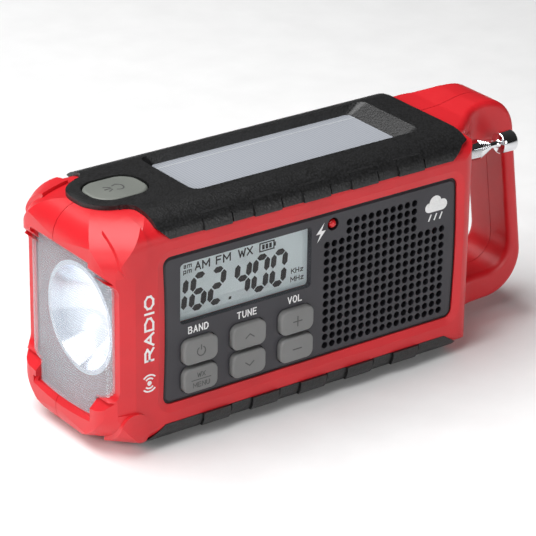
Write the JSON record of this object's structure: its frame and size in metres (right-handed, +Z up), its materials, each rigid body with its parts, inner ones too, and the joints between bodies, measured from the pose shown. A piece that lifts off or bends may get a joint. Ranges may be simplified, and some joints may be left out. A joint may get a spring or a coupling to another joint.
{
  "type": "emergency radio",
  "caption": "Hand-crank emergency radio with torch end, top solar panel, telescopic aerial, display, keypad, grille and loop handle.",
  "frame": {"origin": "under the middle of the radio, on the surface it stands on", "axes": "+X from the torch end to the carrying loop, +Y from the display face to the crank face, +Z up"},
  "size_m": [0.1621, 0.0496, 0.0697],
  "materials": {
    "red_plastic": "satin moulded red",
    "black_rubber": "finely stippled black",
    "panel_plastic": "fine matt charcoal",
    "key_rubber": "matt grey",
    "clear_plastic": "clear",
    "display": "pale grey display",
    "red_lamp": "translucent red",
    "circuit_board": "green solder mask",
    "black_plastic": "matt black",
    "white_plastic": "natural acetal",
    "mirror_finish": "vacuum metallised",
    "lamp": "bright white",
    "solar_glass": "pale grey with fine grid",
    "chrome": "bright plated",
    "steel": "plated",
    "paper_cone": "matt black cone",
    "cell_wrap": "blue sleeve"
  },
  "bodies": {
    "root": {"rubber_feet": "black_rubber", "panel_seal": "black_rubber", "grille_cloth": "black_rubber", "front_shell": "red_plastic", "rear_shell": "red_plastic", "top_cover": "black_rubber", "bottom_bumper": "black_rubber", "front_panel": "panel_plastic", "lcd_window": "clear_plastic", "lcd_module": "display", "key_switches": "black_plastic", "main_board": "circuit_board", "charge_led": "red_lamp", "speaker_frame": "steel", "speaker_cone": "paper_cone", "speaker_magnet": "steel", "torch_lens": "clear_plastic", "torch_reflector": "mirror_finish", "torch_led": "lamp", "torch_led_board": "circuit_board", "torch_switch": "black_plastic", "solar_panel": "solar_glass", "aerial_clips": "black_plastic", "aerial_tube": "chrome", "crank_cup": "black_plastic", "idler_axle": "steel", "gearbox_plate": "white_plastic", "gearbox_screws": "steel", "dynamo": "steel", "battery_cell": "cell_wrap", "battery_box": "black_plastic", "battery_contacts": "steel", "port_board": "circuit_board", "usb_socket": "steel", "charging_socket": "steel", "headphone_socket": "black_plastic", "case_screws": "steel"},
    "torch_key": {"torch_button": "key_rubber"},
    "aerial_1": {"aerial_stage_1": "chrome"},
    "aerial_2": {"aerial_stage_2": "chrome"},
    "aerial_3": {"aerial_stage_3": "chrome"},
    "aerial_4": {"aerial_stage_4": "chrome"},
    "aerial_end": {"aerial_tip": "chrome"},
    "crank": {"crank_arm": "black_plastic", "crank_shaft": "steel", "crank_hinge_pin": "steel", "crank_gear": "white_plastic"},
    "spindle": {"knob_spindle": "steel"},
    "knob": {"crank_knob": "black_plastic"},
    "idler": {"idler_gear": "white_plastic"},
    "rotor": {"dynamo_pinion": "white_plastic"},
    "door": {"battery_door": "panel_plastic"},
    "flap": {"port_cover": "black_rubber"},
    "power_key": {"power_button": "key_rubber"},
    "menu_key": {"menu_button": "key_rubber"},
    "tune_up_key": {"tune_up_button": "key_rubber"},
    "tune_down_key": {"tune_down_button": "key_rubber"},
    "volume_up_key": {"volume_up_button": "key_rubber"},
    "volume_down_key": {"volume_down_button": "key_rubber"}
  },
  "joints": [
    {"name": "power_press", "type": "slide", "parent": "root", "child": "power_key", "axis": [0, 1, 0], "range_m": [0, 0.0008], "stiffness_N_per_m": 600},
    {"name": "menu_press", "type": "slide", "parent": "root", "child": "menu_key", "axis": [0, 1, 0], "range_m": [0, 0.0008], "stiffness_N_per_m": 600},
    {"name": "tune_up_press", "type": "slide", "parent": "root", "child": "tune_up_key", "axis": [0, 1, 0], "range_m": [0, 0.0008], "stiffness_N_per_m": 600},
    {"name": "tune_down_press", "type": "slide", "parent": "root", "child": "tune_down_key", "axis": [0, 1, 0], "range_m": [0, 0.0008], "stiffness_N_per_m": 600},
    {"name": "volume_up_press", "type": "slide", "parent": "root", "child": "volume_up_key", "axis": [0, 1, 0], "range_m": [0, 0.0008], "stiffness_N_per_m": 600},
    {"name": "volume_down_press", "type": "slide", "parent": "root", "child": "volume_down_key", "axis": [0, 1, 0], "range_m": [0, 0.0008], "stiffness_N_per_m": 600},
    {"name": "torch_press", "type": "slide", "parent": "root", "child": "torch_key", "axis": [0, 0, -1], "range_m": [0, 0.001], "stiffness_N_per_m": 600},
    {"name": "aerial_pull_1", "type": "slide", "parent": "root", "child": "aerial_1", "axis": [1, 0, 0], "range_m": [0, 0.092]},
    {"name": "aerial_pull_2", "type": "slide", "parent": "aerial_1", "child": "aerial_2", "axis": [1, 0, 0], "range_m": [0, 0.092]},
    {"name": "aerial_pull_3", "type": "slide", "parent": "aerial_2", "child": "aerial_3", "axis": [1, 0, 0], "range_m": [0, 0.092]},
    {"name": "aerial_pull_4", "type": "slide", "parent": "aerial_3", "child": "aerial_4", "axis": [1, 0, 0], "range_m": [0, 0.092]},
    {"name": "aerial_pull_5", "type": "slide", "parent": "aerial_4", "child": "aerial_end", "axis": [1, 0, 0], "range_m": [0, 0.092]},
    {"name": "crank_turn", "type": "hinge", "parent": "root", "child": "crank", "pos_m": [-0.028, 0.0125, 0.03515], "axis": [0, 1, 0], "continuous": true},
    {"name": "knob_fold", "type": "hinge", "parent": "crank", "child": "spindle", "pos_m": [-0.011, 0.0198, 0.03515], "axis": [0, 0, -1], "range_deg": [0, 90]},
    {"name": "knob_spin", "type": "hinge", "parent": "spindle", "child": "knob", "pos_m": [-0.023, 0.0198, 0.03515], "axis": [1, 0, 0], "continuous": true},
    {"name": "idler_turn", "type": "hinge", "parent": "root", "child": "idler", "pos_m": [-0.04671, 0.006, 0.02435], "axis": [0, 1, 0], "continuous": true},
    {"name": "rotor_turn", "type": "hinge", "parent": "root", "child": "rotor", "pos_m": [-0.04957, 0.004, 0.03907], "axis": [0, 1, 0], "continuous": true},
    {"name": "door_tip", "type": "hinge", "parent": "root", "child": "door", "pos_m": [0.028, 0.0239, 0.0084], "axis": [-1, 0, 0], "range_deg": [0, 95]},
    {"name": "flap_open", "type": "hinge", "parent": "root", "child": "flap", "pos_m": [0.0078, 0.0239, 0.016], "axis": [-1, 0, 0], "range_deg": [0, 110]}
  ],
  "couplings": [
    {"joint": "aerial_pull_2", "follows": "aerial_pull_1", "ratio": 1},
    {"joint": "aerial_pull_3", "follows": "aerial_pull_1", "ratio": 1},
    {"joint": "aerial_pull_4", "follows": "aerial_pull_1", "ratio": 1},
    {"joint": "aerial_pull_5", "follows": "aerial_pull_1", "ratio": 1},
    {"joint": "idler_turn", "follows": "crank_turn", "ratio": -5},
    {"joint": "rotor_turn", "follows": "crank_turn", "ratio": 20}
  ]
}
